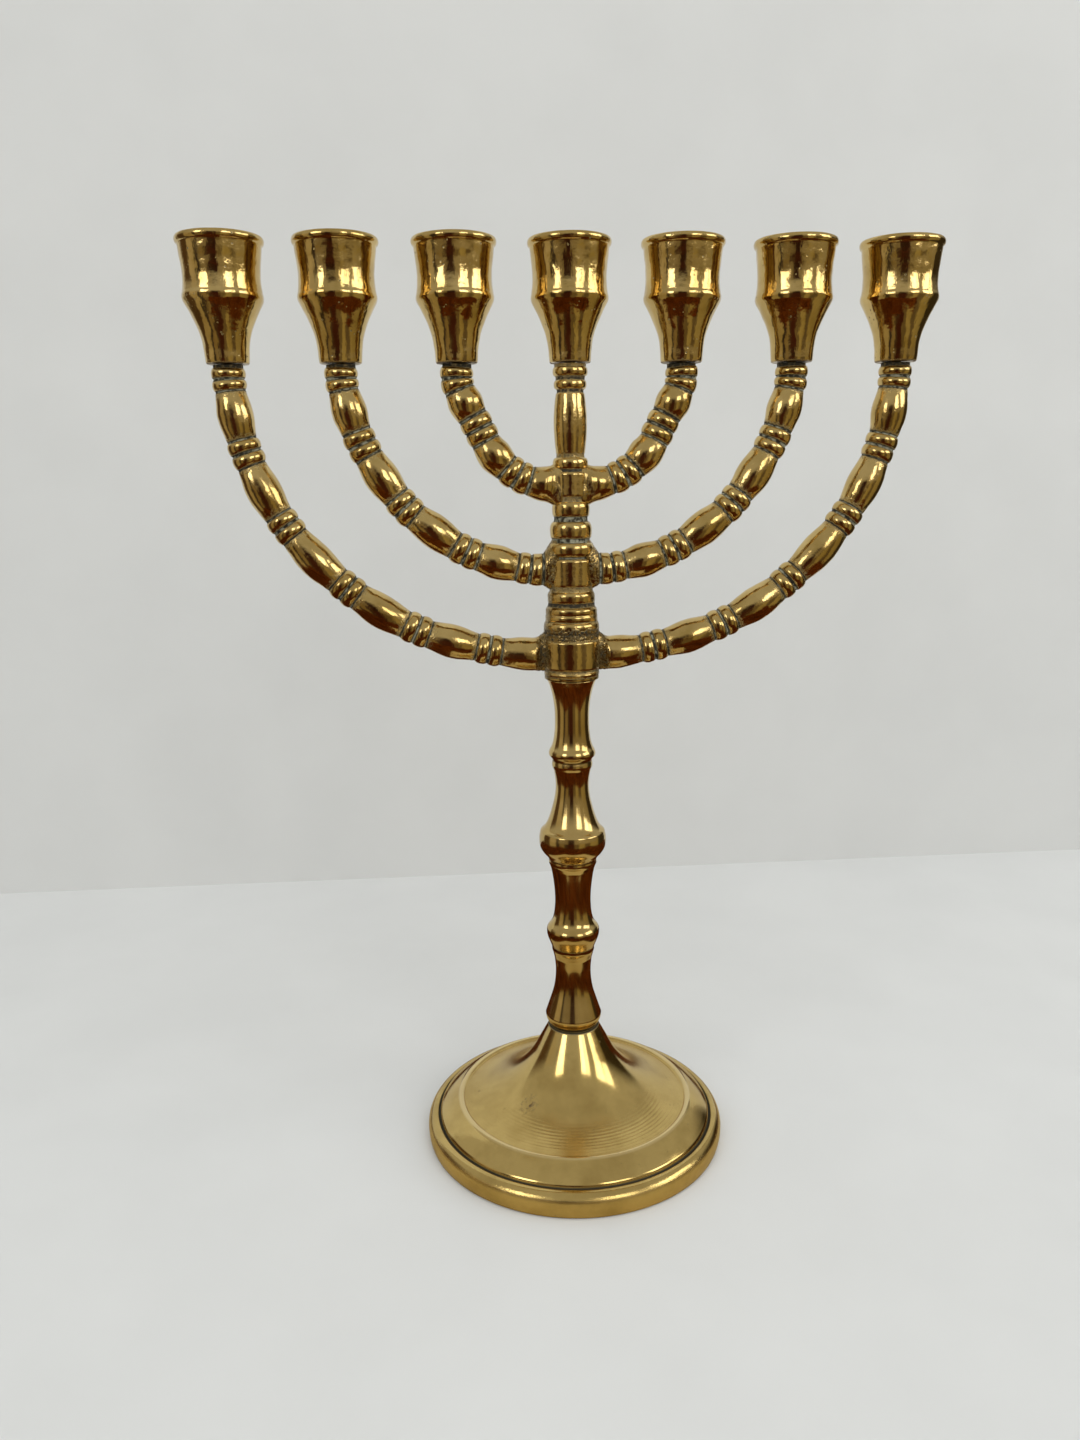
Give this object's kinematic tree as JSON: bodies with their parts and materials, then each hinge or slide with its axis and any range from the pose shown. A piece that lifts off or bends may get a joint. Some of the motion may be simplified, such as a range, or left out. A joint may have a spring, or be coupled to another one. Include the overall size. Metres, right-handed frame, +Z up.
{
  "type": "seven-branch menorah",
  "caption": "Brass candelabrum: a row of flared candle cups on beaded curved branches, a turned stem and a round dished base.",
  "frame": {"origin": "centre of the base's foot ring, on the table", "axes": "+Z up through the stem; +X along the row of cups, to the viewer's right; the viewer stands on the -Y side"},
  "size_m": [0.2332, 0.1046, 0.3],
  "materials": {
    "satin_brass": "lathe-turned, satin, with fine concentric tool lines",
    "turned_brass": "turned and polished",
    "cast_brass": "cast and polished, with polish residue in the grooves",
    "screw_brass": "plain, slightly tarnished",
    "plain_steel": "plain zinc-plated"
  },
  "bodies": {
    "root": {"base_dish": "satin_brass", "stem": "turned_brass", "column": "cast_brass", "branch_left_inner": "cast_brass", "branch_left_middle": "cast_brass", "branch_left_outer": "cast_brass", "branch_right_inner": "cast_brass", "branch_right_middle": "cast_brass", "branch_right_outer": "cast_brass", "cup_left_outer": "cast_brass", "cup_left_middle": "cast_brass", "cup_left_inner": "cast_brass", "cup_centre": "cast_brass", "cup_right_inner": "cast_brass", "cup_right_middle": "cast_brass", "cup_right_outer": "cast_brass", "cup_screw_left_outer": "screw_brass", "cup_screw_left_middle": "screw_brass", "cup_screw_left_inner": "screw_brass", "cup_screw_centre": "screw_brass", "cup_screw_right_inner": "screw_brass", "cup_screw_right_middle": "screw_brass", "cup_screw_right_outer": "screw_brass", "tie_rod": "plain_steel", "tie_rod_washer": "plain_steel", "tie_rod_nut": "plain_steel"}
  },
  "joints": []
}
